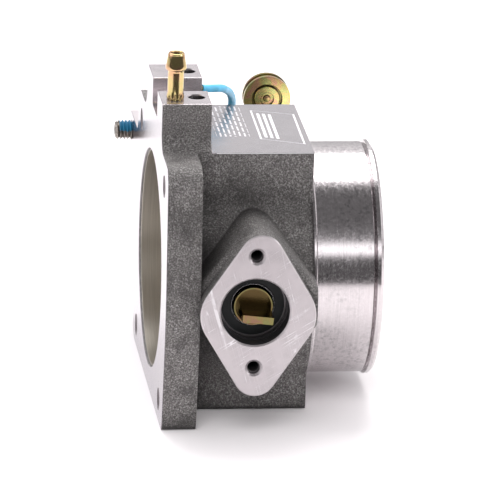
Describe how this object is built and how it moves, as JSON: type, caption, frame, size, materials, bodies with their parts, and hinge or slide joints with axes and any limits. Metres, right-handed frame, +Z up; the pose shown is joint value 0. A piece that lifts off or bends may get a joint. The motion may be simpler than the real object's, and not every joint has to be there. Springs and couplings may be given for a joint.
{
  "type": "throttle body",
  "caption": "Single-bore cable throttle body: cast housing with engine flange, hose neck, butterfly plate on a sprung shaft, cable lever with roller, and sensor drive",
  "frame": {"origin": "centre of the air bore in the engine face, which is also the middle of the engine bolts", "axes": "+X along the air bore from the engine face to the hose neck, +Y along the throttle shaft towards the cable lever, +Z up"},
  "size_m": [0.0939, 0.1596, 0.1431],
  "materials": {
    "cast_body": "cast and machined",
    "shaft_steel": "ground",
    "plate_brass": "fine turned",
    "screw_steel": "zinc plated",
    "bearing_steel": "ground",
    "seal_rubber": "moulded",
    "garter_steel": "drawn wire",
    "yellow_zinc": "yellow zinc plated",
    "barb_plating": "pale gold plated",
    "nipple_brass": "turned",
    "blue_hose": "smooth",
    "stop_steel": "zinc plated",
    "lever_zinc": "zinc plated",
    "spring_steel": "drawn wire",
    "bush_plastic": "moulded"
  },
  "bodies": {
    "housing": {"throttle_housing": "cast_body", "near_bearing_shell": "bearing_steel", "near_bearing_needles": "bearing_steel", "far_bearing_shell": "bearing_steel", "far_bearing_needles": "bearing_steel", "near_seal": "seal_rubber", "near_seal_garter": "garter_steel", "far_seal": "seal_rubber", "far_seal_garter": "garter_steel", "vacuum_barb": "barb_plating", "boss_nipple": "nipple_brass", "body_nipple": "nipple_brass", "vacuum_hose": "blue_hose", "stop_screw": "stop_steel", "return_spring": "spring_steel", "spring_bush": "bush_plastic"},
    "throttle": {"throttle_shaft": "shaft_steel", "throttle_plate": "plate_brass", "plate_screws": "screw_steel", "sensor_drive": "yellow_zinc", "throttle_lever": "lever_zinc", "roller_rivet": "yellow_zinc", "lever_washer": "screw_steel", "lever_nut": "yellow_zinc"},
    "roller": {"cable_roller": "yellow_zinc"}
  },
  "joints": [
    {"name": "throttle_hinge", "type": "hinge", "parent": "housing", "child": "throttle", "pos_m": [0.0341, 0, 0], "axis": [0, 1, 0], "range_deg": [0, 84], "stiffness_Nm_per_rad": 0.4, "springref_deg": -57.3, "deforming": ["return_spring"]},
    {"name": "roller_spin", "type": "hinge", "parent": "throttle", "child": "roller", "pos_m": [0.0541, 0.076, 0.0426], "axis": [0, 1, 0], "continuous": true}
  ]
}
